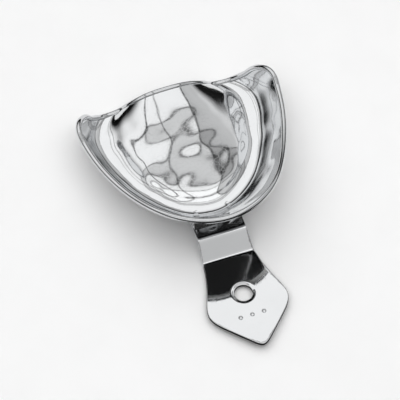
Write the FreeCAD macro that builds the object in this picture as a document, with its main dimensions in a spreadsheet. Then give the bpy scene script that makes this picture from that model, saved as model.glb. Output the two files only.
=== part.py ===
import FreeCAD, Part
import math
import os

import Sketcher
from FreeCAD import Placement, Rotation, Vector

# Edentulous upper impression tray in polished metal: a pressed sheet bowl with a beaded border
# and a stepped strip handle. Millimetres, +Z up, tissue side up, -Y towards the handle.
# The pieces are drawn in the tray's own level frame, in which the floor of the trough is flat.
# A Placement then tips them all into the way that the tray rests on a table.

DIMENSIONS = [
    ("sheet_thickness", 0.8),
    ("half_width", 34.0),
    ("front_reach", 54.9),
    ("wide_station", -6.0),
    ("plan_power", 1.95),
    ("rear_taper", 0.041),
    ("fan_centre", 13.0),
    ("fan_limit", 86.0),
    ("fan_core", 2.0),
    ("flare_front", 36.0),
    ("flare_side", 20.0),
    ("floor_front", 5.0),
    ("floor_side", 8.0),
    ("floor_sag", 0.35),
    ("vault_height", 8.4),
    ("front_rim", 18.4),
    ("side_rim", 11.4),
    ("heel_rim", 12.2),
    ("border_bow", 232.6),
    ("wire_radius", 0.95),
    ("edge_seat", 0.3),
    ("slot_floor", 0.4),
    ("solder_gap", 0.02),
    ("solder_leg", 0.7),
    ("solder_rise", 2.2),
    ("solder_front", 3.9),
    ("solder_depth", 4.0),
    ("strip_thickness", 1.2),
    ("tongue_start", -35.0),
    ("tongue_top", -0.75),
    ("first_bend", -48.4),
    ("step_drop", 5.1),
    ("step_angle", 39.0),
    ("bend_radius", 1.6),
    ("grip_slope", 1.2),
    ("waist_half", 8.4),
    ("waist_curve", 54.0),
    ("shoulder_half", 15.3),
    ("shoulder_station", 20.1),
    ("tip_length", 15.6),
    ("shoulder_round", 9.2),
    ("tip_round", 2.5),
    ("hole_radius", 3.0),
    ("hole_station", 14.6),
    ("dot_radius", 0.6),
    ("dot_depth", 0.3),
    ("dot_spacing", 4.0),
    ("dot_station", 23.2),
    ("weld_spacing", 10.8),
    ("weld_station", -38.4),
    ("weld_radius", 1.5),
    ("weld_half_height", 0.4),
    ("dimple_radius", 2.0),
    ("dimple_depth", 0.15),
    ("rest_tilt", 5.0),
]

FAN_SECTIONS = 33
RIM_STATIONS = 180
FAR = 60.0
SWING = 14.0
FILLING = 12.0


def make_sheet(doc):
    """Put the driving dimensions into a spreadsheet, one aliased cell each."""
    sheet = doc.addObject("Spreadsheet::Sheet", "dims")
    for row, (alias, value) in enumerate(DIMENSIONS, start=1):
        sheet.set(f"A{row}", alias)
        sheet.set(f"B{row}", str(value))
        sheet.setAlias(f"B{row}", alias)
    doc.recompute()
    return sheet


class Dims:
    """The sheet's values as plain attributes."""

    def __init__(self, sheet):
        for alias, _ in DIMENSIONS:
            setattr(self, alias, float(sheet.get(alias)))
        slope = math.radians(self.grip_slope)
        self.second_bend = self.first_bend - self.step_drop / math.tan(math.radians(self.step_angle))
        self.grip_reach = math.cos(slope)
        self.shoulder_y = self.second_bend - self.shoulder_station * self.grip_reach
        self.tip_y = self.shoulder_y - self.tip_length * self.grip_reach


# ---- B-spline nets --------------------------------------------------------------------------


def knots_for(count, degree):
    """Knots and multiplicities of a clamped uniform B-spline direction with this many poles."""
    spans = count - degree
    mults = [degree + 1] + [1] * (spans - 1) + [degree + 1]
    return [float(k) for k in range(spans + 1)], mults


def net_surface(rows):
    """Clamped B-spline surface over a control net: rows run across (u), columns along (v)."""
    degree = min(3, len(rows) - 1)
    u_knots, u_mults = knots_for(len(rows), degree)
    v_knots, v_mults = knots_for(len(rows[0]), 3)
    surface = Part.BSplineSurface()
    surface.buildFromPolesMultsKnots(
        rows, u_mults, v_mults, u_knots, v_knots, False, False, degree, 3
    )
    return surface


def ring_surface(loops):
    """B-spline surface across closed loops of points, smooth and closed along the loops."""
    count = len(loops[0])
    stations = [float(k) for k in range(count + 1)]
    rows = []
    for loop in loops:
        curve = Part.BSplineCurve()
        curve.interpolate(Points=loop, PeriodicFlag=True, Parameters=stations)
        rows.append(curve.getPoles())
    degree = min(3, len(loops) - 1)
    u_knots, u_mults = knots_for(len(rows), degree)
    surface = Part.BSplineSurface()
    surface.buildFromPolesMultsKnots(
        rows, u_mults, curve.getMultiplicities(), u_knots, curve.getKnots(), False, True, degree, 3
    )
    return surface


def solid_from_faces(faces):
    """Sew faces that meet edge to edge into one closed solid, facing outwards."""
    shell = Part.makeShell(faces)
    shell.sewShape()
    solid = Part.makeSolid(shell)
    if not solid.isValid():
        solid.fix(0.001, 0.001, 0.01)
    if solid.Volume < 0:
        solid.reverse()
    return solid


# ---- the bowl -------------------------------------------------------------------------------


def inside_plan(x, y, d):
    """Below 1 inside the border's plan outline: a pointed oval in front, a slow taper behind."""
    ahead = d.wide_station - y
    if ahead > 0:
        depth = d.front_reach + d.wide_station
        return (abs(x) / d.half_width) ** d.plan_power + (ahead / depth) ** d.plan_power
    return abs(x) / (d.half_width - d.rear_taper * ahead * ahead)


def rim_reach(angle, d):
    """Distance from the fan's centre to the plan outline, along a ray at this angle."""
    near, far = d.fan_core, 2 * (d.front_reach + d.fan_centre)
    for _ in range(50):
        middle = 0.5 * (near + far)
        x = middle * math.sin(angle)
        y = d.fan_centre - middle * math.cos(angle)
        if inside_plan(x, y, d) < 1:
            near = middle
        else:
            far = middle
    return near


def bowl_profile(angle, d):
    """Control points (reach, height) of one radial section, from the vault out to the border."""
    reach = rim_reach(angle, d)
    side = math.sin(angle) ** 2
    rim = d.front_rim + (d.side_rim - d.front_rim) * side
    flare = math.tan(math.radians(d.flare_front + (d.flare_side - d.flare_front) * side))
    floor = d.floor_front + (d.floor_side - d.floor_front) * side
    base = reach - rim * flare
    vault = base - 1.75 * floor
    sag = -d.floor_sag
    points = [
        (d.fan_core, d.vault_height),
        (0.20 * vault, 0.99 * d.vault_height),
        (0.42 * vault, 0.865 * d.vault_height),
        (0.64 * vault, 0.62 * d.vault_height),
        (0.84 * vault, 0.39 * d.vault_height),
        (vault, 0.24 * d.vault_height),
        (base - 1.32 * floor, 0.4),
        (base - 0.95 * floor, sag),
        (base - 0.50 * floor, sag),
        (base - 0.10 * floor, 0.0),
    ]
    for share in (0.16, 0.38, 0.66, 1.0, 1.3):
        points.append((base + share * rim * flare, share * rim))
    return points


def bowl_net(d):
    """Control net of the tissue side, rows from the vault outwards and columns round the fan."""
    limit = math.radians(d.fan_limit)
    columns = []
    for k in range(FAN_SECTIONS):
        angle = limit * (2 * k / (FAN_SECTIONS - 1) - 1)
        column = []
        for reach, height in bowl_profile(angle, d):
            x = reach * math.sin(angle)
            y = d.fan_centre - reach * math.cos(angle)
            column.append(Vector(x, y, height))
        columns.append(column)
    return [list(row) for row in zip(*columns)]


def greville(count):
    """Parameters at which the poles of a clamped uniform cubic direction act most."""
    knots, mults = knots_for(count, 3)
    flat = [k for k, m in zip(knots, mults) for _ in range(m)]
    return [sum(flat[i + 1 : i + 4]) / 3 for i in range(count)]


def underside(surface, u, v):
    """Unit normal of the bowl that points away from the tissue side."""
    across, along = surface.tangent(u, v)
    normal = along.cross(across)
    normal.normalize()
    return normal


def offset_net(net, distance):
    """The net moved off the tissue side by a distance, square to the surface."""
    surface = net_surface(net)
    v_all = greville(len(net[0]))
    moved = []
    for row, u in zip(net, greville(len(net))):
        moved.append([p + underside(surface, u, v) * distance for p, v in zip(row, v_all)])
    return moved


def between_nets(lower, upper):
    """Solid between two control nets that face each other."""
    nets = [lower, upper, [lower[0], upper[0]], [lower[-1], upper[-1]]]
    for column in (0, -1):
        nets.append([[row[column] for row in lower], [row[column] for row in upper]])
    return solid_from_faces([net_surface(net).toShape() for net in nets])


def raw_bowl(d):
    """The pressed sheet before its border is trimmed."""
    inner = bowl_net(d)
    return between_nets(offset_net(inner, d.sheet_thickness), inner)


def bowl_filling(d):
    """Everything above the bowl's underside, for parts that must stay below the sheet."""
    outer = offset_net(bowl_net(d), d.sheet_thickness)
    return between_nets(outer, [[p + Vector(0, 0, FILLING) for p in row] for row in outer])


def border_edge(d):
    """Side view of the border: high lip in front, low flanks, heels, steep posterior edge."""
    front = -d.front_reach
    low, heel, lip = d.side_rim, d.heel_rim, d.front_rim
    points = [
        Vector(0, front - 14, lip),
        Vector(0, front, lip),
        Vector(0, 0.84 * front, 0.55 * lip + 0.45 * low + 2.0),
        Vector(0, 0.66 * front, 0.26 * lip + 0.74 * low + 1.3),
        Vector(0, 0.42 * front, low + 0.7),
        Vector(0, 0.22 * front, low + 0.1),
        Vector(0, -5.0, low + 0.2),
        Vector(0, 0.3, heel),
        Vector(0, 2.4, heel - 0.6),
        Vector(0, 3.9, heel - 1.9),
        Vector(0, 5.3, heel - 3.9),
        Vector(0, 6.5, 4.5),
        Vector(0, 7.9, 1.0),
        Vector(0, 7.9, -4.0),
    ]
    curve = Part.BSplineCurve()
    curve.interpolate(points)
    return curve.toShape()


def swung(shape, d):
    """Sweep a side view to both sides about an upright axis far in front, so that it bows back."""
    axis, up = Vector(0, -d.border_bow, 0), Vector(0, 0, 1)
    shape.rotate(axis, up, -SWING)
    return shape.revolve(axis, up, 2 * SWING)


def trimming_solid(d):
    """Everything above and behind the border."""
    edge = border_edge(d)
    start, end = edge.Vertexes[0].Point, edge.Vertexes[-1].Point
    corners = [end, Vector(0, FAR, end.z), Vector(0, FAR, FAR), Vector(0, start.y, FAR), start]
    lines = [Part.makeLine(p, q) for p, q in zip(corners, corners[1:])]
    return swung(Part.Face(Part.Wire([edge] + lines)), d)


# ---- the beaded border ----------------------------------------------------------------------


def border_frames(d):
    """Point, outward direction and underside normal at even stations round the sheet's edge."""
    middle = net_surface(offset_net(bowl_net(d), 0.5 * d.sheet_thickness))
    section = middle.toShape().section(swung(border_edge(d), d))
    wire = Part.Wire(Part.sortEdges(section.Edges)[0])
    points = wire.discretize(Number=RIM_STATIONS + 1)[:-1]
    frames = []
    for k, point in enumerate(points):
        ahead = points[(k + 1) % RIM_STATIONS] - points[k - 1]
        ahead.normalize()
        normal = underside(middle, *middle.parameter(point))
        outward = ahead.cross(normal)
        outward.normalize()
        frames.append((point, outward, normal))
    centre = Vector(0, -0.4 * d.front_reach, 0)
    if (frames[0][0] - centre).dot(frames[0][1]) < 0:
        frames = [(p, o * -1, n) for p, o, n in frames]
    return frames


def ring_solid(frames, sides):
    """A closed ring whose section is drawn in (outward, underside) by sides that share corners."""
    faces = []
    for side in sides:
        loops = [[p + o * a + n * c for p, o, n in frames] for a, c in side]
        faces.append(ring_surface(loops).toShape())
    return solid_from_faces(faces)


def arc_points(centre, radius, start, end, count):
    """Control points of an arc in the section plane, angles in degrees from outward."""
    step = math.radians(end - start) / (count - 1)
    swell = 3 / (2 + math.cos(step))
    points = []
    for k in range(count):
        angle = math.radians(start) + k * step
        reach = radius * (swell if 0 < k < count - 1 else 1)
        points.append((centre + reach * math.cos(angle), reach * math.sin(angle)))
    return points


def wire_section(d):
    """Round wire with a slot that takes the sheet's edge."""
    slot = 0.5 * d.sheet_thickness + d.solder_gap
    mouth = 180 - math.degrees(math.asin(slot / d.wire_radius))
    skin = arc_points(d.edge_seat, d.wire_radius, -mouth, mouth, 15)
    upper, lower = skin[-1], skin[0]
    floor = [(d.slot_floor, slot), (d.slot_floor, -slot)]
    return [skin, [upper, floor[0]], floor, [floor[1], lower]]


def solder_section(d):
    """Solder bead on the underside, in the corner between the wire and the sheet."""
    clear = d.solder_gap
    base = 0.5 * d.sheet_thickness + clear
    reach = d.wire_radius + clear
    mouth = 180 - math.degrees(math.asin(base / reach))
    contact = arc_points(d.edge_seat, reach, mouth, mouth - 38, 5)
    root, top = contact[0], contact[-1]
    foot = (root[0] - d.solder_leg, base)
    toe = (foot[0], base + 0.08)
    crown = (top[0] - 0.06, top[1] + 0.03)
    hollow = (0.5 * (toe[0] + crown[0]) + 0.06, 0.5 * (toe[1] + crown[1]) - 0.06)
    return [contact, [top, crown], [crown, hollow, hollow, toe], [toe, foot], [foot, root]]


# ---- PartDesign helpers ---------------------------------------------------------------------


def origin_plane(body, role):
    return [f for f in body.Origin.OriginFeatures if f.Role == role][0]


def new_body(doc, name):
    body = doc.addObject("PartDesign::Body", name)
    doc.recompute()
    return body


def new_sketch(body, name, role, offset=None):
    """Sketch on one of the body's own origin planes, lifted off it by an optional offset."""
    sketch = body.newObject("Sketcher::SketchObject", name)
    sketch.AttachmentSupport = [(origin_plane(body, role), "")]
    sketch.MapMode = "FlatFace"
    if offset is not None:
        sketch.AttachmentOffset = offset
    return sketch


def bind(sketch, constraint, name, expression):
    """Add a named dimension to a sketch and let the sheet drive it."""
    index = sketch.addConstraint(constraint)
    sketch.renameConstraint(index, name)
    sketch.setExpression(f"Constraints.{name}", expression)


def pinned_polygon(sketch, name, corners):
    """Closed polygon; each corner is (x, y, x expression, y expression) from the origin."""
    start = sketch.GeometryCount
    count = len(corners)
    for k, (x, y, _, _) in enumerate(corners):
        x2, y2 = corners[(k + 1) % count][:2]
        sketch.addGeometry(Part.LineSegment(Vector(x, y, 0), Vector(x2, y2, 0)), False)
    for k, (x, y, x_rule, y_rule) in enumerate(corners):
        line, before = start + k, start + (k - 1) % count
        sketch.addConstraint(Sketcher.Constraint("Coincident", before, 2, line, 1))
        across = Sketcher.Constraint("DistanceX", -1, 1, line, 1, x)
        up = Sketcher.Constraint("DistanceY", -1, 1, line, 1, y)
        bind(sketch, across, f"{name}{k}x", x_rule)
        bind(sketch, up, f"{name}{k}y", y_rule)


def circle(sketch, name, x, y, radius, rules):
    """Circle whose radius and centre follow the sheet; rules are (x, y, radius)."""
    index = sketch.addGeometry(Part.Circle(Vector(x, y, 0), Vector(0, 0, 1), radius), False)
    bind(sketch, Sketcher.Constraint("DistanceX", -1, 1, index, 3, x), name + "x", rules[0])
    bind(sketch, Sketcher.Constraint("DistanceY", -1, 1, index, 3, y), name + "y", rules[1])
    bind(sketch, Sketcher.Constraint("Radius", index, radius), name + "r", rules[2])


def pad(body, sketch, name, length, rule):
    feature = body.newObject("PartDesign::Pad", name)
    feature.Profile = sketch
    feature.Midplane = True
    feature.Length = length
    feature.setExpression("Length", rule)


def through_pocket(body, sketch, name):
    """Cut right through, both ways from the sketch."""
    feature = body.newObject("PartDesign::Pocket", name)
    feature.Profile = sketch
    feature.Type = "ThroughAll"
    feature.Midplane = True


def round_edges(body, name, radius, rule, wanted):
    """Fillet those edges of the body so far that the test picks by their middle point."""
    base = body.Tip
    picked = []
    for index, edge in enumerate(base.Shape.Edges, start=1):
        middle = edge.valueAt(0.5 * (edge.FirstParameter + edge.LastParameter))
        if wanted(edge, middle):
            picked.append(f"Edge{index}")
    feature = body.newObject("PartDesign::Fillet", name)
    feature.Base = (base, picked)
    feature.Radius = radius
    feature.setExpression("Radius", rule)
    body.Document.recompute()


# ---- the handle -----------------------------------------------------------------------------


def strip_side_view(d):
    """Corners of the bent strip seen from +X, with the rules that place them."""
    t = d.strip_thickness
    step, slope = math.radians(d.step_angle), math.radians(d.grip_slope)
    run = d.step_drop / math.tan(step)
    reach = d.shoulder_station + d.tip_length + 2
    bend_y = "(dims.first_bend - dims.step_drop / tan(dims.step_angle * 1deg))"
    low_z = "(dims.tongue_top - dims.step_drop)"
    share = "(1 + cos((dims.step_angle - dims.grip_slope) * 1deg))"
    back = "dims.strip_thickness * (sin(dims.step_angle * 1deg) + sin(dims.grip_slope * 1deg))"
    down = "dims.strip_thickness * (cos(dims.step_angle * 1deg) + cos(dims.grip_slope * 1deg))"
    reach_rule = "(dims.shoulder_station + dims.tip_length + 2)"
    slope_rule = "(dims.grip_slope * 1deg)"
    under = 1 + math.cos(step - slope)
    y2, z2 = d.first_bend - run, d.tongue_top - d.step_drop
    end_y, end_z = y2 - reach * math.cos(slope), z2 - reach * math.sin(slope)
    end_y_rule = f"{bend_y} - {reach_rule} * cos({slope_rule})"
    end_z_rule = f"{low_z} - {reach_rule} * sin({slope_rule})"
    return [
        (d.tongue_start, d.tongue_top, "dims.tongue_start", "dims.tongue_top"),
        (d.first_bend, d.tongue_top, "dims.first_bend", "dims.tongue_top"),
        (y2, z2, bend_y, low_z),
        (end_y, end_z, end_y_rule, end_z_rule),
        (
            end_y + t * math.sin(slope),
            end_z - t * math.cos(slope),
            f"{end_y_rule} + dims.strip_thickness * sin({slope_rule})",
            f"{end_z_rule} - dims.strip_thickness * cos({slope_rule})",
        ),
        (
            y2 + t * (math.sin(step) + math.sin(slope)) / under,
            z2 - t * (math.cos(step) + math.cos(slope)) / under,
            f"{bend_y} + {back} / {share}",
            f"{low_z} - {down} / {share}",
        ),
        (
            d.first_bend + t * math.tan(step / 2),
            d.tongue_top - t,
            "dims.first_bend + dims.strip_thickness * tan(dims.step_angle * 0.5deg)",
            "dims.tongue_top - dims.strip_thickness",
        ),
        (
            d.tongue_start,
            d.tongue_top - t,
            "dims.tongue_start",
            "dims.tongue_top - dims.strip_thickness",
        ),
    ]


def strip_outline(sketch, d):
    """Plan of the strip: parallel tongue, waisted sides that flare in one arc, pointed end."""
    w, s = d.waist_half, d.shoulder_half
    corners = [
        Vector(w, d.tongue_start, 0),
        Vector(w, d.first_bend + 2, 0),
        Vector(s, d.shoulder_y, 0),
        Vector(0, d.tip_y, 0),
        Vector(-s, d.shoulder_y, 0),
        Vector(-w, d.first_bend + 2, 0),
        Vector(-w, d.tongue_start, 0),
    ]
    down = "(dims.first_bend - dims.step_drop / tan(dims.step_angle * 1deg))"
    reach = "dims.shoulder_station * cos(dims.grip_slope * 1deg)"
    shoulder = f"{down} - {reach}"
    tip = f"{down} - (dims.shoulder_station + dims.tip_length) * cos(dims.grip_slope * 1deg)"
    rules = [
        ("dims.waist_half", "dims.tongue_start"),
        ("dims.waist_half", "dims.first_bend + 2"),
        ("dims.shoulder_half", shoulder),
        ("0", tip),
        ("-dims.shoulder_half", shoulder),
        ("-dims.waist_half", "dims.first_bend + 2"),
        ("-dims.waist_half", "dims.tongue_start"),
    ]
    count = len(corners)
    for k in range(count):
        start, end = corners[k], corners[(k + 1) % count]
        if k in (1, 4):
            sketch.addGeometry(flare_arc(start, end, d.waist_curve), False)
        else:
            sketch.addGeometry(Part.LineSegment(start, end), False)
    for k, (x_rule, y_rule) in enumerate(rules):
        # an arc drawn clockwise starts at its second point, so the ends are found by place
        here = ends_at(sketch, corners[k])
        sketch.addConstraint(Sketcher.Constraint("Coincident", *here[0], *here[1]))
        x, y = corners[k].x, corners[k].y
        bind(sketch, Sketcher.Constraint("DistanceX", -1, 1, *here[0], x), f"outline{k}x", x_rule)
        bind(sketch, Sketcher.Constraint("DistanceY", -1, 1, *here[0], y), f"outline{k}y", y_rule)
    for k in (1, 4):
        radius = Sketcher.Constraint("Radius", k, d.waist_curve)
        bind(sketch, radius, f"flare{k}", "dims.waist_curve")


def ends_at(sketch, place):
    """The (geometry, point) pairs of a sketch that lie at a place."""
    found = []
    for index in range(sketch.GeometryCount):
        for which in (1, 2):
            if (sketch.getPoint(index, which) - place).Length < 1e-4:
                found.append((index, which))
    return found


def flare_arc(start, end, radius):
    """Arc between two points whose hollow side faces away from the strip's middle."""
    chord = end - start
    rise = radius - math.sqrt(radius * radius - 0.25 * chord.Length**2)
    square = Vector(-chord.y, chord.x, 0)
    square.normalize()
    middle = (start + end) * 0.5
    if (middle + square).x ** 2 > middle.x**2:
        square = square * -1
    return Part.Arc(start, middle + square * rise, end)


def handle_strip(doc, d):
    """The bent strip: side view padded across, then cut to its plan, with hole and size dots."""
    body = new_body(doc, "handle_strip")
    side = new_sketch(body, "side_view", "YZ_Plane")
    pinned_polygon(side, "side", strip_side_view(d))
    pad(body, side, "strip", 2 * d.shoulder_half + 4, "2 * dims.shoulder_half + 4")
    doc.recompute()
    sharp, hollow = d.bend_radius + d.strip_thickness, d.bend_radius
    rule = "dims.bend_radius + dims.strip_thickness"
    round_edges(body, "outer_bends", sharp, rule, lambda e, m: bend_edge(e, m, d, True))
    rule = "dims.bend_radius"
    round_edges(body, "inner_bends", hollow, rule, lambda e, m: bend_edge(e, m, d, False))
    plan = new_sketch(body, "plan_view", "XY_Plane")
    strip_outline(plan, d)
    frame = 3 * d.shoulder_half
    for k in range(4):
        box = [(frame, 0.0), (frame, 2 * d.tip_y), (-frame, 2 * d.tip_y), (-frame, 0.0)]
        start, end = box[k], box[(k + 1) % 4]
        plan.addGeometry(Part.LineSegment(Vector(*start, 0), Vector(*end, 0)), False)
    through_pocket(body, plan, "plan_cut")
    doc.recompute()
    corners = (
        ("shoulders", d.shoulder_y, d.shoulder_round, "dims.shoulder_round"),
        ("tip", d.tip_y, d.tip_round, "dims.tip_round"),
        ("tongue_corners", d.tongue_start, d.tip_round, "dims.tip_round"),
    )
    for name, station, radius, rule in corners:
        round_edges(body, name, radius, rule, lambda e, m: upright(e) and abs(m.y - station) < 0.5)
    hole = new_sketch(body, "hole_circle", "XY_Plane")
    hole_y = "dims.first_bend - dims.step_drop / tan(dims.step_angle * 1deg)"
    hole_y += " - dims.hole_station * cos(dims.grip_slope * 1deg)"
    reach = d.second_bend - d.hole_station * d.grip_reach
    circle(hole, "hole", 0, reach, d.hole_radius, ("0", hole_y, "dims.hole_radius"))
    through_pocket(body, hole, "hole_cut")
    doc.recompute()
    size_dots(body, d)
    doc.recompute()
    return body


def bend_edge(edge, middle, d, outer):
    """Whether an edge runs across the strip at a bend, on its outer or its hollow side."""
    across = abs(edge.tangentAt(edge.FirstParameter).x) > 0.99
    half = 0.5 * d.strip_thickness
    grip_top = d.tongue_top - d.step_drop
    near_first = abs(middle.y - d.first_bend) < 1.2 and middle.z > d.tongue_top - 2 * half - 0.1
    near_second = abs(middle.y - d.second_bend) < 1.2 and middle.z < grip_top + 0.1
    first_top = near_first and middle.z > d.tongue_top - half
    second_top = near_second and middle.z > grip_top - half
    if outer:
        return across and (first_top or (near_second and not second_top))
    return across and (second_top or (near_first and not first_top))


def upright(edge):
    return abs(edge.tangentAt(edge.FirstParameter).z) > 0.99


def size_dots(body, d):
    """Three shallow punched dots across the grip, the maker's size mark."""
    slope = math.radians(d.grip_slope)
    y = d.second_bend - d.dot_station * math.cos(slope)
    z = d.tongue_top - d.step_drop - d.dot_station * math.sin(slope)
    place = Placement(Vector(0, y, z), Rotation(Vector(1, 0, 0), d.grip_slope))
    dots = new_sketch(body, "size_dots", "XY_Plane", place)
    for k, side in enumerate(("-", "0 *", "")):
        x = (k - 1) * d.dot_spacing
        rules = (f"{side} dims.dot_spacing", "0", "dims.dot_radius")
        circle(dots, f"dot{k}", x, 0, d.dot_radius, rules)
    before = body.Shape.Volume
    punch = body.newObject("PartDesign::Pocket", "dot_punch")
    punch.Profile = dots
    punch.Length = d.dot_depth
    punch.setExpression("Length", "dims.dot_depth")
    body.Document.recompute()
    if body.Shape.Volume > before - 0.1:
        punch.Reversed = True
        body.Document.recompute()


# ---- joining the handle to the bowl ---------------------------------------------------------


def weld_lens(doc, name, x, d):
    """One spot weld: a flattened ball of fused metal across the joint."""
    lens = doc.addObject("Part::Ellipsoid", name)
    level = d.tongue_top - 0.2
    lens.Placement = Placement(Vector(x, d.weld_station, level), Rotation())
    lens.setExpression("Radius1", "dims.weld_half_height")
    lens.setExpression("Radius2", "dims.weld_radius")
    lens.setExpression("Radius3", "dims.weld_radius")
    return lens


def weld_dimple(doc, name, x, surface_z, d):
    """The shallow mark that the welding electrode leaves on the tissue side."""
    ball = doc.addObject("Part::Sphere", name)
    ball.setExpression("Radius", "dims.dimple_radius")
    lift = d.dimple_radius - d.dimple_depth
    ball.Placement = Placement(Vector(x, d.weld_station, surface_z + lift), Rotation())
    return ball


def solder_block(doc, d):
    """Block of solder across the strip, later cut to the corner under the bowl's front."""
    body = new_body(doc, "solder_block")
    sketch = new_sketch(body, "block_side", "YZ_Plane")
    front = d.first_bend + d.solder_front
    back, lean = front + d.solder_depth, 0.5 * d.solder_rise
    foot, crest = d.tongue_top, d.tongue_top + d.solder_rise
    front_rule = "dims.first_bend + dims.solder_front"
    back_rule = f"{front_rule} + dims.solder_depth"
    foot_rule, crest_rule = "dims.tongue_top", "dims.tongue_top + dims.solder_rise"
    corners = [
        (back, foot, back_rule, foot_rule),
        (front, foot, front_rule, foot_rule),
        (front + lean, crest, f"{front_rule} + 0.5 * dims.solder_rise", crest_rule),
        (back, crest, back_rule, crest_rule),
    ]
    pinned_polygon(sketch, "block", corners)
    pad(body, sketch, "block", 2 * d.waist_half - 1, "2 * dims.waist_half - 1")
    doc.recompute()
    return body


def shaped(doc, name, shape):
    feature = doc.addObject("Part::Feature", name)
    feature.Shape = shape
    return feature


def cut(doc, name, base, *tools):
    """Cut the base by one tool after another."""
    for count, tool in enumerate(tools, start=1):
        last = count == len(tools)
        feature = doc.addObject("Part::Cut", name if last else f"{name}_step_{count}")
        feature.Base = base
        feature.Tool = tool
        doc.recompute()
        base = feature
    return base


def gather(doc, name, members):
    feature = doc.addObject("Part::Compound", name)
    feature.Links = members
    doc.recompute()
    return feature


def floor_height(d, x, y):
    """Height of the tissue side over a point in the trough."""
    plumb = Part.makeLine(Vector(x, y, -FILLING), Vector(x, y, FILLING))
    return net_surface(bowl_net(d)).toShape().section(plumb).Vertexes[0].Point.z


def rest_placement(pieces, d):
    """Tip the tray the way it lies on a table, its base at height zero and its middle at the origin."""
    tilt = Rotation(Vector(1, 0, 0), -d.rest_tilt)
    tipped = Part.makeCompound([piece.Shape for piece in pieces])
    tipped.Placement = Placement(Vector(0, 0, 0), tilt)
    corners, _ = tipped.tessellate(0.01)
    low, high = min(p.y for p in corners), max(p.y for p in corners)
    return Placement(Vector(0, -0.5 * (low + high), -min(p.z for p in corners)), tilt)


def check_document(doc, pieces):
    """Stop on a feature that failed quietly, or on a piece that isn't sound."""
    for item in doc.Objects:
        if "Invalid" in item.State or "Error" in item.State:
            raise RuntimeError(f"{item.Name}: {item.State}")
    for piece in pieces:
        shape = piece.Shape
        if shape.isNull() or not shape.isValid() or not shape.Solids:
            raise RuntimeError(f"{piece.Label}: the shape isn't sound")
        volumes = ", ".join(f"{s.Volume:.1f}" for s in shape.Solids)
        print(f"{piece.Label}: {len(shape.Solids)} solid(s), {volumes} mm3")


def build():
    doc = FreeCAD.newDocument("impression_tray")
    d = Dims(make_sheet(doc))

    pressing = shaped(doc, "pressing", raw_bowl(d))
    trimmer = shaped(doc, "trimmer", trimming_solid(d))
    trimmed = cut(doc, "trimmed_bowl", pressing, trimmer)
    strip = handle_strip(doc, d)
    filling = shaped(doc, "bowl_filling", bowl_filling(d))

    half = 0.5 * d.weld_spacing
    level = floor_height(d, half, d.weld_station)
    sides = (("left", -half), ("right", half))
    lenses = [weld_lens(doc, f"weld_{name}", x, d) for name, x in sides]
    dimples = [weld_dimple(doc, f"dimple_{name}", x, level, d) for name, x in sides]
    doc.recompute()

    frames = border_frames(d)
    pieces = {
        "tray_bowl": cut(doc, "tray_bowl", trimmed, *lenses, *dimples),
        "handle": cut(doc, "handle", strip, filling, *lenses),
        "rim_wire": shaped(doc, "rim_wire", ring_solid(frames, wire_section(d))),
        "rim_solder": shaped(doc, "rim_solder", ring_solid(frames, solder_section(d))),
        "weld_nuggets": gather(doc, "weld_nuggets", lenses),
        "handle_solder": cut(doc, "handle_solder", solder_block(doc, d), filling, strip),
    }
    rest = rest_placement(pieces.values(), d)
    for name, piece in pieces.items():
        piece.Label = name
        piece.Placement = rest
    doc.recompute()
    check_document(doc, pieces.values())
    os.makedirs("parts", exist_ok=True)
    for name, piece in pieces.items():
        piece.Shape.exportStep(f"parts/{name}.step")
    print("rest placement", rest)


build()
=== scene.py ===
import math

import bpy
import numpy as np
from mathutils import Matrix, Vector
from mathutils.geometry import delaunay_2d_cdt


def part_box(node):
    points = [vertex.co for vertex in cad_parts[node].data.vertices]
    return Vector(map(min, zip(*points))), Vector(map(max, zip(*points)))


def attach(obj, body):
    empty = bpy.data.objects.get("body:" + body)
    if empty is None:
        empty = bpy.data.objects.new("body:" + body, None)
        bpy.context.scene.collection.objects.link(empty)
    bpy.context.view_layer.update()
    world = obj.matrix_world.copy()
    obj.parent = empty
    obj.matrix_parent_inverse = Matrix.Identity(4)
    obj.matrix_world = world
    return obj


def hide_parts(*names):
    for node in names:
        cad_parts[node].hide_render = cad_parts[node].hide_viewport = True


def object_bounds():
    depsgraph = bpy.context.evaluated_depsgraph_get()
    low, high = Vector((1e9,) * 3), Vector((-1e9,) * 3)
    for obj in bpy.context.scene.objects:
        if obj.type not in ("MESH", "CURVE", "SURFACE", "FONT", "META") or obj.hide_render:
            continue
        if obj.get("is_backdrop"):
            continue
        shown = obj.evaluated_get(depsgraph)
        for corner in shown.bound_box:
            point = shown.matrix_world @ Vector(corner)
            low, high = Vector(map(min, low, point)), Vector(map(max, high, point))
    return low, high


# Edentulous upper impression tray in polished steel. Each piece is worked out in millimetres in
# the tray's level frame (trough floor flat, -Y towards the handle), then tipped into the frame.

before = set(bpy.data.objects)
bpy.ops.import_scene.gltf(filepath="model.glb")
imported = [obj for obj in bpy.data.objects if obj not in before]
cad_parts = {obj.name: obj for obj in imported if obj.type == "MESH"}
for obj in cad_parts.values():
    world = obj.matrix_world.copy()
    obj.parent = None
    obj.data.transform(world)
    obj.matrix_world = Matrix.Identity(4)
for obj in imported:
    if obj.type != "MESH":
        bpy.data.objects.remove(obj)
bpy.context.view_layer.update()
MM = 0.001

# ---- driving dimensions, the same as the CAD model's ----------------------------------------

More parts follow.
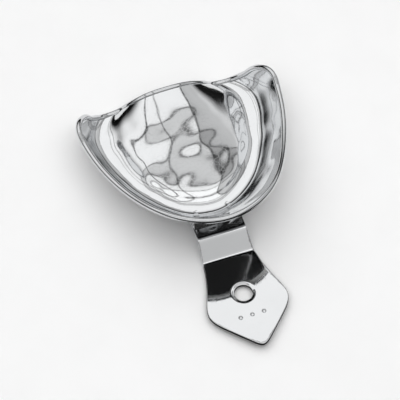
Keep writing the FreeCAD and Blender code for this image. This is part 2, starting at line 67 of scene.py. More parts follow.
SHEET = 0.8
HALF_WIDTH, FRONT_REACH, WIDE_STATION, PLAN_POWER, REAR_TAPER = 34.0, 54.9, -6.0, 1.95, 0.041
FAN_CENTRE, FAN_LIMIT, FAN_CORE, FAN_SECTIONS = 13.0, math.radians(86), 2.0, 33
FLARE_FRONT, FLARE_SIDE = 36.0, 20.0
FLOOR_FRONT, FLOOR_SIDE, FLOOR_SAG, VAULT = 5.0, 8.0, 0.35, 8.4
FRONT_RIM, SIDE_RIM, HEEL_RIM, BORDER_BOW = 18.4, 11.4, 12.2, 232.6
WIRE, SEAT, SLOT_FLOOR, GAP = 0.95, 0.3, 0.4, 0.02
SOLDER_LEG = 0.7
STRIP = 1.2
TONGUE_START, TONGUE_TOP, FIRST_BEND, STEP_DROP, STEP_ANGLE = -35.0, -0.75, -48.4, 5.1, 39.0
BEND_RADIUS, GRIP_SLOPE = 1.6, 1.2
WAIST, WAIST_CURVE, SHOULDER, SHOULDER_STATION, TIP_LENGTH = 8.4, 54.0, 15.3, 20.1, 15.6
HOLE, HOLE_STATION = 3.0, 14.6
DOT, DOT_DEPTH, DOT_SPACING, DOT_STATION = 0.6, 0.3, 4.0, 23.2
WELD_SPACING, WELD_STATION, DIMPLE, DIMPLE_DEPTH = 10.8, -38.4, 0.76, 0.15
TILT = math.radians(5)

# ---- the pressed bowl -----------------------------------------------------------------------


def basis(count, at):
    """Weights of the poles of a clamped uniform cubic B-spline at each parameter."""
    spans = count - 3
    flat = np.concatenate([np.zeros(3), np.arange(spans + 1.0), np.full(3, float(spans))])
    at = np.clip(at, 0, spans - 1e-9)[:, None]
    weights = ((flat[:-1] <= at) & (at < flat[1:])).astype(float)
    for k in range(1, 4):
        left = flat[k:-1] - flat[: -k - 1]
        right = flat[k + 1 :] - flat[1:-k]
        rising = (at - flat[: -k - 1]) / np.where(left > 0, left, 1) * (left > 0)
        falling = (flat[k + 1 :] - at) / np.where(right > 0, right, 1) * (right > 0)
        weights = weights[:, :-1] * rising + weights[:, 1:] * falling
    return weights


def inside_plan(x, y):
    """Below 1 inside the border's plan outline."""
    ahead = WIDE_STATION - y
    if ahead > 0:
        depth = FRONT_REACH + WIDE_STATION
        return (abs(x) / HALF_WIDTH) ** PLAN_POWER + (ahead / depth) ** PLAN_POWER
    return abs(x) / (HALF_WIDTH - REAR_TAPER * ahead * ahead)


def rim_reach(angle):
    """Distance from the fan's centre to the plan outline, along a ray at this angle."""
    near, far = FAN_CORE, 2 * (FRONT_REACH + FAN_CENTRE)
    for _ in range(50):
        middle = 0.5 * (near + far)
        if inside_plan(middle * math.sin(angle), FAN_CENTRE - middle * math.cos(angle)) < 1:
            near = middle
        else:
            far = middle
    return near


def bowl_profile(angle):
    """Control points (reach, height) of one radial section, from the vault out to the border."""
    side = math.sin(angle) ** 2
    rim = FRONT_RIM + (SIDE_RIM - FRONT_RIM) * side
    flare = math.tan(math.radians(FLARE_FRONT + (FLARE_SIDE - FLARE_FRONT) * side))
    floor = FLOOR_FRONT + (FLOOR_SIDE - FLOOR_FRONT) * side
    base = rim_reach(angle) - rim * flare
    vault = base - 1.75 * floor
    points = [
        (FAN_CORE, VAULT),
        (0.20 * vault, 0.99 * VAULT),
        (0.42 * vault, 0.865 * VAULT),
        (0.64 * vault, 0.62 * VAULT),
        (0.84 * vault, 0.39 * VAULT),
        (vault, 0.24 * VAULT),
        (base - 1.32 * floor, 0.4),
        (base - 0.95 * floor, -FLOOR_SAG),
        (base - 0.50 * floor, -FLOOR_SAG),
        (base - 0.10 * floor, 0.0),
    ]
    return points + [(base + s * rim * flare, s * rim) for s in (0.16, 0.38, 0.66, 1.0, 1.3)]


def bowl_net():
    """Control net of the tissue side, indexed [row from the vault outwards, column, axis]."""
    columns = []
    for angle in np.linspace(-FAN_LIMIT, FAN_LIMIT, FAN_SECTIONS):
        reach, height = np.array(bowl_profile(angle)).T
        across, along = reach * math.sin(angle), FAN_CENTRE - reach * math.cos(angle)
        columns.append(np.stack([across, along, height], 1))
    return np.stack(columns, 1)


NET = bowl_net()


def tissue_side(u, v):
    """Points of the tissue side at each parameter pair."""
    rows, columns, _ = NET.shape
    mixed = (basis(rows, u) @ NET.reshape(rows, -1)).reshape(-1, columns, 3)
    return (basis(columns, v)[:, :, None] * mixed).sum(1)


def underside_normal(u, v):
    """Unit normals that point away from the tissue side."""
    step = 1e-3
    across = tissue_side(u + step, v) - tissue_side(u - step, v)
    along = tissue_side(u, v + step) - tissue_side(u, v - step)
    normal = np.cross(along, across)
    return normal / (np.linalg.norm(normal, axis=1, keepdims=True) + 1e-12)


def smooth_through(points):
    """Dense points of a smooth curve through the points, for the border's side view."""
    points = np.array(points)
    steps = np.linalg.norm(np.diff(points, axis=0), axis=1)
    at = np.concatenate([[0], np.cumsum(steps)])
    count = len(points)
    rows, right = np.zeros((count, count)), np.zeros((count, 2))
    for end, four in ((0, slice(0, 4)), (count - 1, slice(-4, None))):
        cubic = np.polynomial.polynomial.polyfit(at[four] - at[end], points[four], 3)
        rows[end, end], right[end] = 1, cubic[1]
    for k in range(1, count - 1):
        a, b = steps[k - 1], steps[k]
        rows[k, k - 1 : k + 2] = b, 2 * (a + b), a
        before, after = (points[k] - points[k - 1]) / a, (points[k + 1] - points[k]) / b
        right[k] = 3 * (b * before + a * after)
    slopes = np.linalg.solve(rows, right)
    dense = []
    for k in range(count - 1):
        t = np.linspace(0, 1, 60, endpoint=False)[:, None]
        h = steps[k]
        dense.append(
            (2 * t**3 - 3 * t**2 + 1) * points[k]
            + (t**3 - 2 * t**2 + t) * h * slopes[k]
            + (3 * t**2 - 2 * t**3) * points[k + 1]
            + (t**3 - t**2) * h * slopes[k + 1]
        )
    return np.concatenate(dense)


def border_height():
    """The border's height over each station from front to back: (stations, heights)."""
    front, low, heel, lip = -FRONT_REACH, SIDE_RIM, HEEL_RIM, FRONT_RIM
    curve = smooth_through(
        [
            (front - 14, lip),
            (front, lip),
            (0.84 * front, 0.55 * lip + 0.45 * low + 2.0),
            (0.66 * front, 0.26 * lip + 0.74 * low + 1.3),
            (0.42 * front, low + 0.7),
            (0.22 * front, low + 0.1),
            (-5.0, low + 0.2),
            (0.3, heel),
            (2.4, heel - 0.6),
            (3.9, heel - 1.9),
            (5.3, heel - 3.9),
            (6.5, 4.5),
            (7.9, 1.0),
            (7.9, -4.0),
        ]
    )
    return np.maximum.accumulate(curve[:, 0]), curve[:, 1]


STATIONS, HEIGHTS = border_height()


def kept(u, v):
    """Whether the middle of the sheet is inside the border at each parameter pair."""
    point = tissue_side(u, v) + 0.5 * SHEET * underside_normal(u, v)
    station = np.hypot(point[:, 0], point[:, 1] + BORDER_BOW) - BORDER_BOW
    edge = np.interp(station, STATIONS, HEIGHTS, right=-99.0)
    return point[:, 2] < edge


MIDDLE_U, MIDDLE_V = 6.0, 15.0


def border_parameters(count):
    """Parameter pairs of the sheet's edge, evenly spaced round the tray."""
    turn = np.linspace(0, 2 * math.pi, 1440, endpoint=False)
    du, dv = MIDDLE_U * np.cos(turn), MIDDLE_V * np.sin(turn)
    near, far = np.zeros(turn.size), np.full(turn.size, 1.6)
    for _ in range(30):
        middle = 0.5 * (near + far)
        inside = kept(MIDDLE_U + middle * du, MIDDLE_V + middle * dv)
        near, far = np.where(inside, middle, near), np.where(inside, far, middle)
    u, v = MIDDLE_U + near * du, MIDDLE_V + near * dv
    u, v = np.append(u, u[0]), np.append(v, v[0])
    point = tissue_side(u, v)
    length = np.concatenate([[0], np.cumsum(np.linalg.norm(np.diff(point, axis=0), axis=1))])
    even = np.linspace(0, length[-1], count, endpoint=False)
    return np.interp(even, length, u), np.interp(even, length, v)


def ripple(point, seed, reach, height):
    """Slow unevenness of pressed and polished sheet: plane waves in random directions."""
    random = np.random.default_rng(seed)
    total = np.zeros(len(point))
    for _ in range(18):
        way = random.normal(size=3)
        way /= np.linalg.norm(way)
        wave = reach * random.uniform(0.7, 1.6)
        total += np.sin(point @ way * 2 * math.pi / wave + random.uniform(0, 2 * math.pi))
    return height * total / math.sqrt(18)


# ---- meshes ---------------------------------------------------------------------------------


def to_rest(points):
    """From millimetres in the level frame to metres in the frame's rest position."""
    x, y, z = np.asarray(points, float).T
    cos, sin = math.cos(TILT), math.sin(TILT)
    tipped = np.stack([x, y * cos + z * sin, z * cos - y * sin], 1)
    return tipped * MM + REST_SHIFT


def new_piece(name, points, faces, sharp=50.0):
    mesh = bpy.data.meshes.new(name)
    mesh.from_pydata([tuple(p) for p in to_rest(points)], [], faces)
    mesh.update()
    mesh.shade_smooth()
    mesh.set_sharp_from_angle(angle=math.radians(sharp))
    piece = bpy.data.objects.new(name, mesh)
    bpy.context.scene.collection.objects.link(piece)
    return piece


def rings_to_faces(rings, around, first=0, closed=False):
    """Quads between rings of equal count that follow each other."""
    faces = []
    for r in range(rings if closed else rings - 1):
        a, b = first + r * around, first + (r + 1) % rings * around
        for k in range(around):
            n = (k + 1) % around
            faces.append((a + k, a + n, b + n, b + k))
    return faces


def bowl_piece():
    """Both skins of the pressing as rings round its middle, with polished-in unevenness."""
    rays, rings = 420, 110
    edge_u, edge_v = border_parameters(rays)
    share = np.linspace(0, 1, rings + 1)[1:]
    u = np.append(MIDDLE_U, (MIDDLE_U + share[:, None] * (edge_u - MIDDLE_U)).ravel())
    v = np.append(MIDDLE_V, (MIDDLE_V + share[:, None] * (edge_v - MIDDLE_V)).ravel())
    point, normal = tissue_side(u, v), underside_normal(u, v)
    fade = np.append(0, np.repeat(share, rays))
    waves = ripple(point, 31, 14.0, 0.13) + ripple(point, 5, 8.0, 0.05)
    waves = waves * np.clip(5 * (1 - fade), 0, 1)
    from_weld = np.hypot(np.abs(point[:, 0]) - 0.5 * WELD_SPACING, point[:, 1] - WELD_STATION)
    dimples = DIMPLE_DEPTH * np.clip(1 - (from_weld / (1.35 * DIMPLE)) ** 2, 0, 1) ** 2
    upper = point + normal * (waves + dimples)[:, None]
    lower = point + normal * (0.35 * waves + SHEET)[:, None]
    count = len(point)
    faces = [(0, 1 + (k + 1) % rays, 1 + k) for k in range(rays)]
    faces += [(a, d, c, b) for a, b, c, d in rings_to_faces(rings, rays, 1)]
    under = [tuple(count + i for i in reversed(f)) for f in faces]
    last = 1 + (rings - 1) * rays
    wall = []
    for k in range(rays):
        n = (k + 1) % rays
        wall.append((last + k, last + n, count + last + n, count + last + k))
    return new_piece("bowl_sheet", np.concatenate([upper, lower]), faces + under + wall)


def border_frames(count):
    """Points on the sheet's edge, with the directions outwards and towards the underside."""
    u, v = border_parameters(count)
    normal = underside_normal(u, v)
    point = tissue_side(u, v) + 0.5 * SHEET * normal
    ahead = np.roll(point, -1, 0) - np.roll(point, 1, 0)
    outward = np.cross(ahead, normal)
    outward /= np.linalg.norm(outward, axis=1, keepdims=True)
    centre = np.array([0, -0.4 * FRONT_REACH, 0])
    if (point[0] - centre) @ outward[0] < 0:
        outward = -outward
    return point, outward, normal


def swept(frames, section):
    """Points and quads of a closed ring whose section is drawn in (outward, underside)."""
    point, outward, normal = frames
    points = [point + outward * a + normal * c for a, c in section]
    faces = [tuple(reversed(f)) for f in rings_to_faces(len(section), len(point), 0, closed=True)]
    return np.concatenate(points), faces


def wire_points():
    """The wire's section, a disc with a slot for the sheet, swept round the edge."""
    slot = 0.5 * SHEET + GAP
    mouth = math.pi - math.asin(slot / WIRE)
    turns = np.linspace(-mouth, mouth, 25)
    section = [(SEAT + WIRE * math.cos(a), WIRE * math.sin(a)) for a in turns]
    section += [(SLOT_FLOOR, slot), (SLOT_FLOOR, -slot)]
    return swept(border_frames(560), section)


def solder_points():
    """The seam's section, from the wire down to the sheet's outside, swept round the edge."""
    base = 0.5 * SHEET + GAP
    reach = WIRE + GAP
    mouth = math.pi - math.asin(base / reach)
    low, high = mouth, mouth - math.radians(38)
    contact = [(SEAT + reach * math.cos(a), reach * math.sin(a)) for a in np.linspace(low, high, 6)]
    root, top = contact[0], contact[-1]
    toe = (root[0] - SOLDER_LEG, base + 0.06)
    middle = (0.5 * (toe[0] + top[0]) + 0.1, 0.5 * (toe[1] + top[1]) - 0.1)
    surface = []
    for t in np.linspace(0, 1, 7)[1:]:
        spread = list(zip(((1 - t) ** 2, 2 * t * (1 - t), t * t), (top, middle, toe)))
        surface.append(tuple(sum(w * p[i] for w, p in spread) for i in (0, 1)))
    section = contact + surface + [(toe[0], base)]
    return swept(border_frames(420), section)


# ---- the handle -----------------------------------------------------------------------------


def filleted(corners, radii, spacing):
    """Points along a polyline whose inner corners are rounded; ends stay where they are."""
    corners = [np.array(c, float) for c in corners]
    path = [corners[0]]
    for before, corner, after, radius in zip(corners, corners[1:], corners[2:], radii):
        one, two = before - corner, after - corner
        one, two = one / np.linalg.norm(one), two / np.linalg.norm(two)
        half = 0.5 * math.acos(np.clip(one @ two, -1, 1))
        trim = radius / math.tan(half)
        centre = corner + (one + two) / np.linalg.norm(one + two) * radius / math.sin(half)
        start, end = corner + one * trim, corner + two * trim
        a, b = start - centre, end - centre
        turn = math.atan2(a[0] * b[1] - a[1] * b[0], a @ b)
        for t in np.linspace(0, turn, max(3, int(abs(turn) * radius / spacing) + 2)):
            c, s = math.cos(t), math.sin(t)
            path.append(centre + np.array([a[0] * c - a[1] * s, a[0] * s + a[1] * c]))
    path.append(corners[-1])
    return np.array(path)


SLOPE = math.radians(GRIP_SLOPE)
SECOND_BEND = FIRST_BEND - STEP_DROP / math.tan(math.radians(STEP_ANGLE))
SHOULDER_Y = SECOND_BEND - SHOULDER_STATION * math.cos(SLOPE)
TIP_Y = SHOULDER_Y - TIP_LENGTH * math.cos(SLOPE)
HOLE_Y = SECOND_BEND - HOLE_STATION * math.cos(SLOPE)
DOT_Y = SECOND_BEND - DOT_STATION * math.cos(SLOPE)
EDGE_ROUND = 0.28
BOW = math.radians(-2.0)
HOLE_POINTS, DOT_POINTS = 56, 24


def strip_path():
    """Side view of the strip's middle line: (y, z) points from tongue to tip, dense."""
    t = 0.5 * STRIP
    step = math.radians(STEP_ANGLE)
    under = 1 + math.cos(step - SLOPE)
    low = TONGUE_TOP - STEP_DROP
    reach = SHOULDER_STATION + TIP_LENGTH + 2
    corners = [
        (TONGUE_START + 1, TONGUE_TOP - t),
        (FIRST_BEND + t * math.tan(step / 2), TONGUE_TOP - t),
        (
            SECOND_BEND + t * (math.sin(step) + math.sin(SLOPE)) / under,
            low - t * (math.cos(step) + math.cos(SLOPE)) / under,
        ),
        (
            SECOND_BEND - reach * math.cos(SLOPE) + t * math.sin(SLOPE),
            low - reach * math.sin(SLOPE) - t * math.cos(SLOPE),
        ),
    ]
    return filleted(corners, [BEND_RADIUS + t] * 2, 0.02)


PATH = strip_path()


def strip_middle(y):
    """Height and downhill slope angle of the strip's middle line at each station."""
    order = np.argsort(PATH[:, 0])
    z = np.interp(y, PATH[order, 0], PATH[order, 1])
    ahead = np.interp(y + 0.05, PATH[order, 0], PATH[order, 1])
    back = np.interp(y - 0.05, PATH[order, 0], PATH[order, 1])
    return z, np.arctan2(ahead - back, 0.1)


def place_on_strip(plan, height):
    """Bend flat points (x, y) with a height off the middle line into the strip's shape."""
    x, y = plan.T
    z, angle = strip_middle(y)
    along = np.clip((SECOND_BEND - 1.5 - y) / (SECOND_BEND - 1.5 - TIP_Y), 0, 1)
    z = z - math.tan(BOW) * (SECOND_BEND - 1.5 - TIP_Y) * along * (1 - along)
    return np.stack([x, y - height * np.sin(angle), z + height * np.cos(angle)], 1)


def outline():
    """Plan outline of the strip, counter-clockwise, with its corners rounded."""
    start, end = np.array([WAIST, FIRST_BEND + 2]), np.array([SHOULDER, SHOULDER_Y])
    chord = end - start
    length = np.linalg.norm(chord)
    inwards = np.array([chord[1], -chord[0]]) / length
    flat = math.sqrt(WAIST_CURVE**2 - 0.25 * length**2)
    side = [np.array([WAIST, TONGUE_START])]
    for t in np.linspace(0, 1, 40):
        hollow = math.sqrt(WAIST_CURVE**2 - ((t - 0.5) * length) ** 2) - flat
        side.append(start + chord * t + inwards * hollow)
    loop = np.array([p * (-1, 1) for p in side] + [(0.0, TIP_Y)] + side[::-1])
    loop = even_loop(loop, 0.1)
    tongue, shoulders, tip = (softened(loop, reach, 0.1) for reach in (1.45, 3.8, 2.05))
    on_grip = np.clip((FIRST_BEND + 4 - loop[:, 1]) / 6, 0, 1)[:, None]
    at_tip = np.clip((SHOULDER_Y - 7 - loop[:, 1]) / 4, 0, 1)[:, None]
    grip = shoulders * (1 - at_tip) + tip * at_tip
    return even_loop(tongue * (1 - on_grip) + grip * on_grip, 0.4)


def softened(loop, reach, spacing):
    """The closed loop with its corners rounded off over this distance."""
    waves = np.fft.fftfreq(len(loop), spacing)
    keep = np.exp(-2 * (math.pi * waves * reach) ** 2)
    return np.fft.ifft(np.fft.fft(loop, axis=0) * keep[:, None], axis=0).real


def even_loop(loop, spacing):
    """The closed loop at even spacing."""
    closed = np.vstack([loop, loop[:1]])
    length = np.concatenate([[0], np.cumsum(np.linalg.norm(np.diff(closed, axis=0), axis=1))])
    at = np.linspace(0, length[-1], int(length[-1] / spacing), endpoint=False)
    return np.stack([np.interp(at, length, closed[:, i]) for i in (0, 1)], 1)


def inset(loop, distance):
    """The loop moved towards its inside (counter-clockwise loops)."""
    ahead = np.roll(loop, -1, 0) - np.roll(loop, 1, 0)
    ahead /= np.linalg.norm(ahead, axis=1, keepdims=True)
    return loop + np.stack([-ahead[:, 1], ahead[:, 0]], 1) * distance


def circle_loop(x, y, radius, count):
    turn = np.linspace(0, 2 * math.pi, count, endpoint=False)
    return np.stack([x + radius * np.cos(turn), y + radius * np.sin(turn)], 1)


def face_relief(plan):
    """Height of the top face off its plane: dished round the hole, punched at the dots."""
    from_hole = np.hypot(plan[:, 0], plan[:, 1] - HOLE_Y)
    dish = -0.16 * np.exp(-(((from_hole - HOLE) / 0.75) ** 2))
    for k in (-1, 0, 1):
        from_dot = np.hypot(plan[:, 0] - k * DOT_SPACING, plan[:, 1] - DOT_Y)
        inside = np.clip((DOT + 0.15 - from_dot) / 0.35, 0, 1)
        dish -= DOT_DEPTH * inside * inside * (3 - 2 * inside)
    return dish


def fixed_loops(rim, bore):
    """Loops that the face mesh follows: rim, hole, and rings round the hole and the dots."""
    loops = [rim, bore]
    loops += [circle_loop(0, HOLE_Y, HOLE + r, HOLE_POINTS) for r in (0.55, 0.85, 1.2, 1.6, 2.1)]
    for k in (-1, 0, 1):
        for r in (-0.45, -0.2, -0.1, 0.0, 0.08, 0.16, 0.35):
            loops.append(circle_loop(k * DOT_SPACING, DOT_Y, DOT + r, DOT_POINTS))
    return loops


def face_grid(fixed):
    """Staggered points over the strip, clear of the fixed loops, the hole and the dots."""
    xs, ys = np.arange(-SHOULDER, SHOULDER, 0.6), np.arange(TIP_Y, TONGUE_START, 0.55)
    grid = np.array([(x, y) for row, y in enumerate(ys) for x in xs + 0.3 * (row % 2)])
    away = grid[:, None] - np.vstack(fixed)[None]
    clear = np.min(np.hypot(*away.transpose(2, 0, 1)), axis=1) > 0.34
    clear &= np.hypot(grid[:, 0], grid[:, 1] - HOLE_Y) > HOLE + 2.3
    for k in (-1, 0, 1):
        clear &= np.hypot(grid[:, 0] - k * DOT_SPACING, grid[:, 1] - DOT_Y) > DOT + 0.6
    return grid[clear]


def inside_face(point, rim):
    """Whether a point lies within the rim loop and outside the hole's mouth."""
    if math.hypot(point[0], point[1] - HOLE_Y) < (HOLE + EDGE_ROUND) * 0.999:
        return False
    x, y = rim.T
    x2, y2 = np.roll(x, -1), np.roll(y, -1)
    crosses = (y > point[1]) != (y2 > point[1])
    at = x + (point[1] - y) * (x2 - x) / np.where(crosses, y2 - y, 1)
    return bool(np.sum(crosses & (point[0] < at)) % 2)


def face_mesh(rim, bore):
    """Flat mesh of the strip's face between its rim and its hole: (points, faces)."""
    fixed = fixed_loops(rim, bore)
    points = np.vstack(fixed + [face_grid(fixed)])
    constraints, start = [], 0
    for loop in (rim, bore):
        n = len(loop)
        constraints += [(start + k, start + (k + 1) % n) for k in range(n)]
        start += n
    out = delaunay_2d_cdt([Vector(p) for p in points], constraints, [], 0, 1e-5)
    plan = np.array([tuple(p) for p in out[0]])
    faces = [f for f in out[2] if inside_face(plan[list(f)].mean(0), rim)]
    used = sorted({i for f in faces for i in f})
    index = {old: new for new, old in enumerate(used)}
    return plan[used], [tuple(index[i] for i in f) for f in faces]


def edge_rings(loop, inner):
    """Rings of points over a rounded edge, from the top face's rim to the bottom face's."""
    relief = face_relief(inner)
    quarter = np.radians((22.5, 45, 67.5, 90))
    rings = []
    for angle, up in [(a, 1) for a in quarter] + [(a, -1) for a in quarter[::-1]]:
        place = inner + (loop - inner) * math.sin(angle)
        height = up * (0.5 * STRIP - EDGE_ROUND + EDGE_ROUND * math.cos(angle))
        lift = relief * (0.5 * (1 + math.cos(angle)) if up > 0 else 0.0)
        rings.append(place_on_strip(place, height + lift))
    return rings


def strip_piece():
    """The handle: its two faces, and the rounded edges of its outline and its hole."""
    edge, hole = outline(), circle_loop(0, HOLE_Y, HOLE, HOLE_POINTS)
    rim, bore = inset(edge, EDGE_ROUND), circle_loop(0, HOLE_Y, HOLE + EDGE_ROUND, HOLE_POINTS)
    plan, faces = face_mesh(rim, bore)
    count = len(plan)
    unevenness = ripple(np.c_[plan, plan[:, :1]], 9, 16.0, 0.018)
    points = [
        place_on_strip(plan, 0.5 * STRIP + face_relief(plan) + unevenness),
        place_on_strip(plan, np.full(count, -0.5 * STRIP)),
    ]
    faces += [tuple(count + i for i in reversed(f)) for f in faces]
    total = 2 * count
    for loop, inner, is_outline in ((edge, rim, True), (hole, bore, False)):
        nearest = [int(np.argmin(np.hypot(*(plan - p).T))) for p in inner]
        rows, n = [nearest], len(loop)
        for ring in edge_rings(loop, inner):
            points.append(ring)
            rows.append([total + k for k in range(n)])
            total += n
        rows.append([count + i for i in nearest])
        for one, two in zip(rows, rows[1:]):
            for k in range(n):
                m = (k + 1) % n
                quad = (one[k], two[k], two[m], one[m])
                faces.append(quad if is_outline else tuple(reversed(quad)))
    return new_piece("handle_strip", np.concatenate(points), faces, 60.0)


# ---- materials ------------------------------------------------------------------------------


class Tree:
    """Short way to add and link nodes."""

    def __init__(self, owner):
        owner.use_nodes = True
        self.nodes, self.links = owner.node_tree.nodes, owner.node_tree.links
        self.nodes.clear()

    def add(self, kind, inputs=None, **settings):
        node = self.nodes.new(kind)
        for name, value in settings.items():
            setattr(node, name, value)
        for name, value in (inputs or {}).items():
            if isinstance(value, bpy.types.NodeSocket):
                self.links.new(value, node.inputs[name])
            else:
                node.inputs[name].default_value = value
        return node

    def math(self, operation, *values):
        node = self.nodes.new("ShaderNodeMath")
        node.operation = operation
        for socket, value in zip(node.inputs, values):
            if isinstance(value, bpy.types.NodeSocket):
                self.links.new(value, socket)
            else:
                socket.default_value = value
        return node.outputs[0]

    def noise(self, where, scale, **more):
        inputs = {"Vector": where, "Scale": scale} | more
        return self.add("ShaderNodeTexNoise", inputs).outputs["Fac"]

    def ramp(self, factor, stops):
        node = self.add("ShaderNodeValToRGB", {"Fac": factor})
        marks = node.color_ramp.elements
        while len(marks) < len(stops):
            marks.new(0.5)
        for mark, (place, grey) in zip(marks, stops):
            mark.position = place
            mark.color = (grey, grey, grey, 1)
        return node.outputs["Color"]


def steel(name, tint, shine, haze, scratch, along=(1, 1, 1)):
    """Polished metal: mirror shine broken by haze, polishing lines, fine scratches and wipes."""
    material = bpy.data.materials.new(name)
    tree = Tree(material)
    where = tree.add("ShaderNodeTexCoord").outputs["Object"]
    stretched = tree.add("ShaderNodeMapping", {"Vector": where, "Scale": along}).outputs[0]
    slow = tree.noise(where, 90.0, Detail=3.0, Roughness=0.55)
    wipes = tree.noise(where, 420.0, Detail=5.0, Roughness=0.7)
    lines = tree.noise(stretched, 2600.0, Detail=4.0)
    nicks = tree.add(
        "ShaderNodeTexVoronoi", {"Vector": stretched, "Scale": 700.0}, feature="DISTANCE_TO_EDGE"
    )
    nick = tree.ramp(nicks.outputs["Distance"], [(0.0, 0.0), (0.02, 1.0)])
    slow_haze = tree.ramp(slow, [(0.35, 0.0), (0.75, 1.0)])
    fine_haze = tree.ramp(wipes, [(0.45, 0.0), (0.8, 1.0)])
    rough = tree.math("MULTIPLY_ADD", slow_haze, haze, shine)
    rough = tree.math("ADD", rough, tree.math("MULTIPLY", fine_haze, 0.6 * haze))
    colour = tree.add("ShaderNodeMix", {"Factor": slow}, data_type="RGBA")
    colour.inputs[6].default_value = (*[0.93 * c for c in tint], 1)
    colour.inputs[7].default_value = (*tint, 1)
    height = tree.math("ADD", tree.math("MULTIPLY", lines, 0.5), tree.math("MULTIPLY", nick, 0.5))
    bump = tree.add("ShaderNodeBump", {"Height": height, "Strength": scratch, "Distance": 0.00002})
    inputs = {"Base Color": colour.outputs[2], "Metallic": 1.0, "Roughness": rough}
    surface = tree.add("ShaderNodeBsdfPrincipled", inputs | {"Normal": bump.outputs[0]})
    tree.add("ShaderNodeOutputMaterial", {"Surface": surface.outputs[0]})
    return material


def floor_material():
    material = bpy.data.materials.new("pale_floor")
    tree = Tree(material)
    where = tree.add("ShaderNodeTexCoord").outputs["Object"]
    colour = tree.ramp(tree.noise(where, 60.0, Detail=4.0), [(0.3, 0.93), (0.7, 0.95)])
    surface = tree.add("ShaderNodeBsdfPrincipled", {"Base Color": colour, "Roughness": 0.9})
    tree.add("ShaderNodeOutputMaterial", {"Surface": surface.outputs[0]})
    return material


def wear(piece, material):
    piece.data.materials.clear()
    piece.data.materials.append(material)


# ---- the studio -----------------------------------------------------------------------------


SOFTBOX = 1.3
FLOOR_LIGHT = 16.5
WALL_LIGHT = 0.68
ROOM = 3.0
# Brightness over the turn from straight up, in degrees: towards the tray's back (+) and handle (-)
STRIPS = [(-90, 0.3), (-62, 0.42), (-34, 0.5), (-24, 0.62), (-23.4, 0.08), (-22.4, 0.08)]
STRIPS += [(-21.6, 0.95), (-2, 0.95), (-1.4, 0.08), (-0.6, 0.08), (0.2, 0.8), (9.2, 0.8)]
STRIPS += [(9.8, 0.06), (10.8, 0.06), (11.6, 0.55), (20.0, 0.6), (20.8, 0.06), (21.8, 0.06)]
STRIPS += [(22.6, 0.82), (44, 0.86), (60, 0.66), (90, 0.55)]
# The same towards the tray's right (+) and left (-) side
FLAGS = [(-80, 0.22), (-58, 0.45), (-46, 0.95), (-32, 1.0), (-31, 0.1), (-29.5, 0.1)]
FLAGS += [(-28.5, 1.0), (-12, 1.0), (-11.2, 0.15), (-10.2, 0.15), (-9.4, 1.0), (26, 1.0)]
FLAGS += [(26.8, 0.1), (28.4, 0.1), (29.4, 0.55), (48, 0.6), (56, 0.85), (80, 0.75)]
# Brightness over the height of the direction, from the horizon (0) to straight up (1)
HORIZON = [(0.0, 0.01), (0.3, 0.02), (0.38, 0.4), (0.5, 0.85), (0.65, 1.0)]


def studio_world():
    """Soft light all round: strips of softbox that run left to right, with dark gaps between."""
    world = bpy.data.worlds.new("studio")
    bpy.context.scene.world = world
    tree = Tree(world)
    way = tree.add("ShaderNodeTexCoord").outputs["Generated"]
    x, y, z = tree.add("ShaderNodeSeparateXYZ", {"Vector": way}).outputs
    light = tree.ramp(z, HORIZON)
    for level, stops in ((y, STRIPS), (x, FLAGS)):
        turn = tree.math("ARCTAN2", level, z)
        share = tree.math("MULTIPLY_ADD", turn, 0.5 / math.pi, 0.5)
        bright = tree.ramp(share, [(0.5 + degrees / 360, grey) for degrees, grey in stops])
        light = tree.math("MULTIPLY", bright, light)
    strength = tree.math("MULTIPLY", light, SOFTBOX)
    inputs = {"Color": (1, 1, 1, 1), "Strength": strength}
    background = tree.add("ShaderNodeBackground", inputs)
    tree.add("ShaderNodeOutputWorld", {"Surface": background.outputs[0]})


def make_floor_light():
    """Broad soft light overhead that lifts the floor and leaves no mirror image in the metal."""
    data = bpy.data.lights.new("overhead", "AREA")
    data.shape, data.size, data.size_y, data.energy = "RECTANGLE", 2.4, 2.0, FLOOR_LIGHT
    light = bpy.data.objects.new("overhead", data)
    bpy.context.scene.collection.objects.link(light)
    light.location = (0.0, 0.1, 1.6)
    light.visible_glossy = light.visible_camera = False


def stage_piece(name, corners, faces, material):
    mesh = bpy.data.meshes.new(name)
    mesh.from_pydata(corners, [], faces)
    made = bpy.data.objects.new(name, mesh)
    bpy.context.scene.collection.objects.link(made)
    made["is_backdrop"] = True
    wear(made, material)
    return made


def flat_sheet(name, low, high, height, material):
    corners = [(low[0], low[1]), (high[0], low[1]), (high[0], high[1]), (low[0], high[1])]
    return stage_piece(name, [(x, y, height) for x, y in corners], [(0, 1, 2, 3)], material)


def make_painted_dark_reflections():
    """Black sheets towards the camera and under the handle, seen only mirrored in the metal: a
    painted dark reflection in front, and painted shade under the handle.
    """
    material = bpy.data.materials.new("painted_reflection_black")
    tree = Tree(material)
    inputs = {"Base Color": (0.01, 0.01, 0.01, 1), "Roughness": 0.9, "Specular IOR Level": 0.1}
    surface = tree.add("ShaderNodeBsdfPrincipled", inputs)
    tree.add("ShaderNodeOutputMaterial", {"Surface": surface.outputs[0]})
    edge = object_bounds()[0].y - 0.008
    for name, low, high in (
        ("painted_reflection_front", (-0.7, -2.4), (0.9, edge)),
        ("painted_shade_under_handle", (-0.03, edge), (0.035, -0.015)),
    ):
        # Each sheet is hidden from the camera, from diffuse light and from shadows, so it only
        # paints darkness into the metal's reflections.
        painted_sheet = flat_sheet(name, low, high, 0.0004, material)
        painted_sheet.visible_camera = painted_sheet.visible_diffuse = painted_sheet.visible_shadow = False
        painted_sheet.visible_transmission = painted_sheet.visible_volume_scatter = False


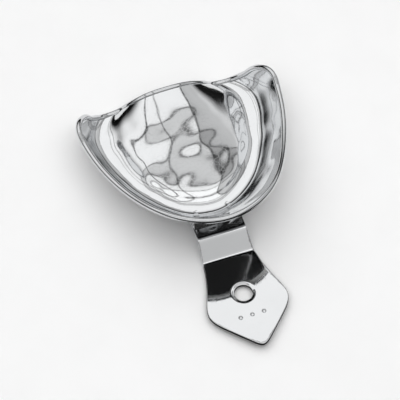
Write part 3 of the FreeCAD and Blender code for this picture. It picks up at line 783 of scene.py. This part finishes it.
def make_backdrop():
    """Pale wall far away all round, seen directly above the floor's edge and not in the metal."""
    material = bpy.data.materials.new("pale_backdrop")
    tree = Tree(material)
    surface = tree.add("ShaderNodeEmission", {"Color": (1, 1, 1, 1), "Strength": WALL_LIGHT})
    tree.add("ShaderNodeOutputMaterial", {"Surface": surface.outputs[0]})
    plan = ((-ROOM, -ROOM), (ROOM, -ROOM), (ROOM, ROOM), (-ROOM, ROOM))
    corners = [(x, y, z) for x, y in plan for z in (0, ROOM)]
    sides = [(2 * k, 2 * k + 1, (2 * k + 3) % 8, (2 * k + 2) % 8) for k in range(4)]
    wall = stage_piece("backdrop", corners, sides, material)
    wall.visible_glossy = wall.visible_diffuse = wall.visible_shadow = False
    wall.visible_transmission = wall.visible_volume_scatter = False


AIM = (-4.03, -38.25, 6.22)
AZIMUTH, ELEVATION, ROLL = math.radians(-22.08), math.radians(61.75), math.radians(3.16)
DISTANCE, VIEW_WIDTH, SENSOR = 1.265, 0.1303, 36.0


def make_camera():
    """Looks at AIM from the handle's side, and sees VIEW_WIDTH metres across it."""
    level, lift = math.cos(ELEVATION), math.sin(ELEVATION)
    back = Vector((math.sin(AZIMUTH) * level, -math.cos(AZIMUTH) * level, lift))
    right = Vector((math.cos(AZIMUTH), math.sin(AZIMUTH), 0))
    up = back.cross(right)
    cos, sin = math.cos(ROLL), math.sin(ROLL)
    right, up = right * cos + up * sin, up * cos - right * sin
    data = bpy.data.cameras.new("camera")
    data.sensor_width = SENSOR
    data.lens = SENSOR * DISTANCE / VIEW_WIDTH
    data.clip_start, data.clip_end = 0.05, 40
    camera = bpy.data.objects.new("camera", data)
    bpy.context.scene.collection.objects.link(camera)
    turn = Matrix((right, up, back)).transposed().to_4x4()
    place = Vector(to_rest([AIM])[0]) + back * DISTANCE
    camera.matrix_world = Matrix.Translation(place) @ turn
    bpy.context.scene.camera = camera


# ---- putting it together --------------------------------------------------------------------

# The level frame's origin in the rest position, found from the rim, which both models share.
REST_SHIFT = np.zeros(3)
wire, wire_faces = wire_points()
REST_SHIFT = np.array(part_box("rim_wire")[0]) - to_rest(wire).min(0)
REST_SHIFT[0] = 0.0

bowl = bowl_piece()
rim = new_piece("rim_bead", wire, wire_faces)
solder = new_piece("rim_solder_bead", *solder_points())
strip = strip_piece()

bowl_steel = steel("bowl_steel", (0.80, 0.81, 0.82), 0.035, 0.05, 0.25)
# The rim's steel is tinted darker than the bowl's: painted shade, which darkens the bead's outline
# and its reflections.
rim_steel = steel("rim_steel", (0.70, 0.71, 0.72), 0.05, 0.05, 0.3)
handle_steel = steel("handle_steel", (0.78, 0.79, 0.80), 0.03, 0.03, 0.25, (1, 0.08, 1))
solder_metal = steel("solder_metal", (0.62, 0.62, 0.61), 0.22, 0.15, 0.8)

for piece, node, metal, slot in (
    (bowl, "tray_bowl", bowl_steel, "bowl_steel"),
    (rim, "rim_wire", rim_steel, "rim_steel"),
    (solder, "rim_solder", solder_metal, "solder"),
    (strip, "handle", handle_steel, "handle_steel"),
):
    wear(piece, metal)
    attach(piece, "root")
    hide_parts(node)
for node in ("weld_nuggets", "handle_solder"):
    wear(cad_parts[node], solder_metal)

studio_world()
flat_sheet("floor", (-ROOM, -ROOM), (ROOM, ROOM), 0.0, floor_material())
make_painted_dark_reflections()
make_backdrop()
make_floor_light()
make_camera()
bpy.context.scene.view_settings.view_transform = "Standard"
